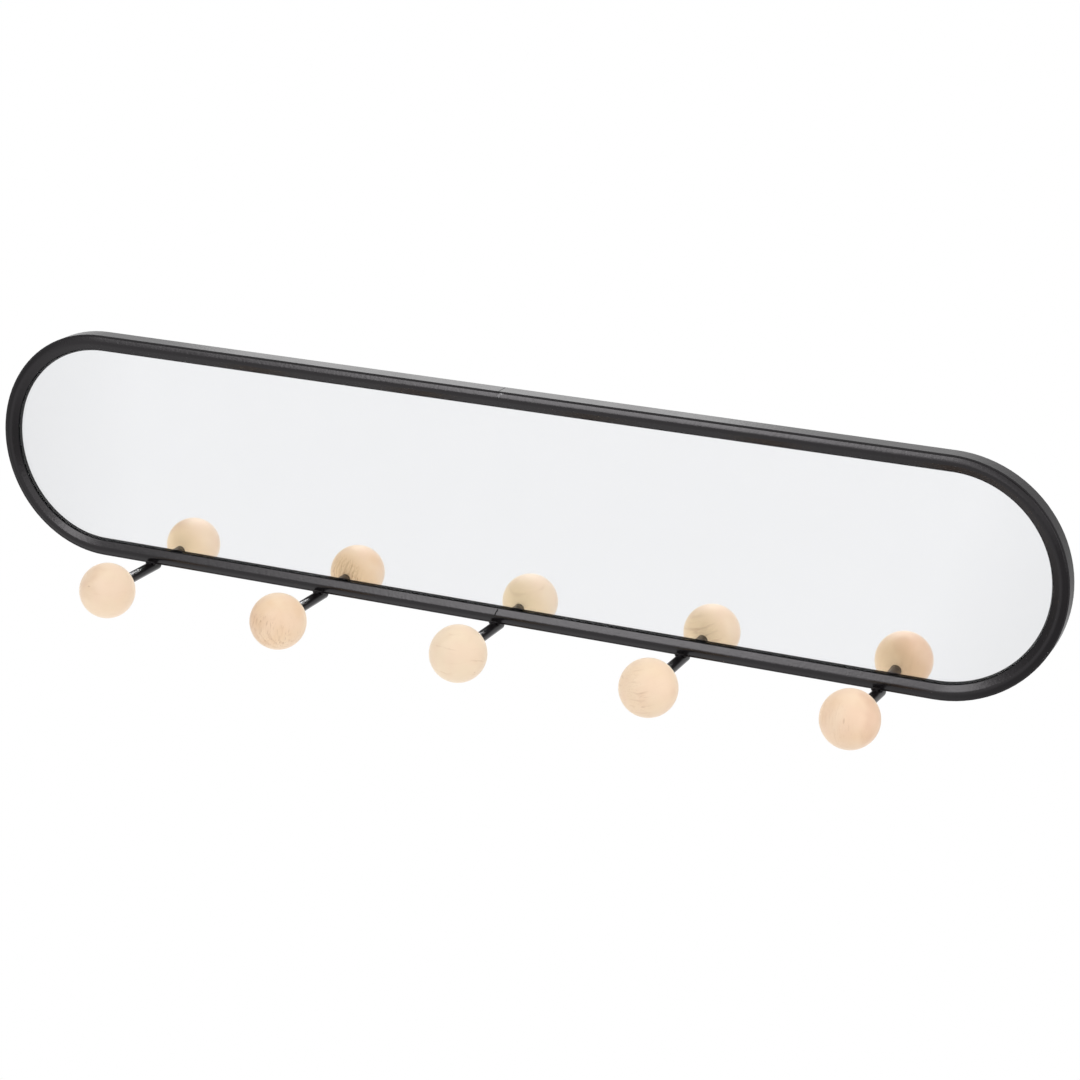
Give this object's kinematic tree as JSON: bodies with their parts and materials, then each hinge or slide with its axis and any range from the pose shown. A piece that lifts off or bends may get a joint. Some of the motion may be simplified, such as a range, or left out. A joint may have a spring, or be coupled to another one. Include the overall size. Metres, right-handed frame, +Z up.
{
  "type": "mirror with hooks",
  "caption": "Long wall mirror with round ends in a slim black steel frame, with a row of wooden ball hooks on straight rods welded under its lower edge.",
  "frame": {"origin": "on the wall, midway between the round parts of the two keyholes", "axes": "+X to the right along the mirror as seen from the room, +Y into the wall, +Z up; the wall is the plane Y = 0 and the hooks point along -Y"},
  "size_m": [0.8, 0.0896, 0.191],
  "materials": {
    "frame_paint": "satin black powder coat with a fine even texture",
    "bezel_paint": "satin black powder coat with a fine even texture",
    "rod_paint": "satin black powder coat",
    "weld_paint": "weld beads under satin black powder coat",
    "clear_glass": "clear float glass with ground edges",
    "silver_coating": "silvered back of the glass under grey paint",
    "foam": "white closed-cell foam tape",
    "fibreboard": "raw medium-density fibreboard",
    "zinc_screws": "zinc plated",
    "beech": "sanded pale beech with a matt clear coat"
  },
  "bodies": {
    "root": {"strip_left": "frame_paint", "strip_right": "frame_paint", "bezel_left": "bezel_paint", "bezel_right": "bezel_paint", "seam_welds": "weld_paint", "mirror_glass": "clear_glass", "mirror_coating": "silver_coating", "foam_strips": "foam", "backboard": "fibreboard", "clamp_lugs": "frame_paint", "lug_screws": "zinc_screws", "lug_welds": "weld_paint", "keyhole_plate_left": "frame_paint", "keyhole_plate_right": "frame_paint", "hanger_welds": "weld_paint", "rod_far_left": "rod_paint", "rod_mid_left": "rod_paint", "rod_centre": "rod_paint", "rod_mid_right": "rod_paint", "rod_far_right": "rod_paint", "ball_far_left": "beech", "ball_mid_left": "beech", "ball_centre": "beech", "ball_mid_right": "beech", "ball_far_right": "beech", "hook_welds": "weld_paint"}
  },
  "joints": []
}
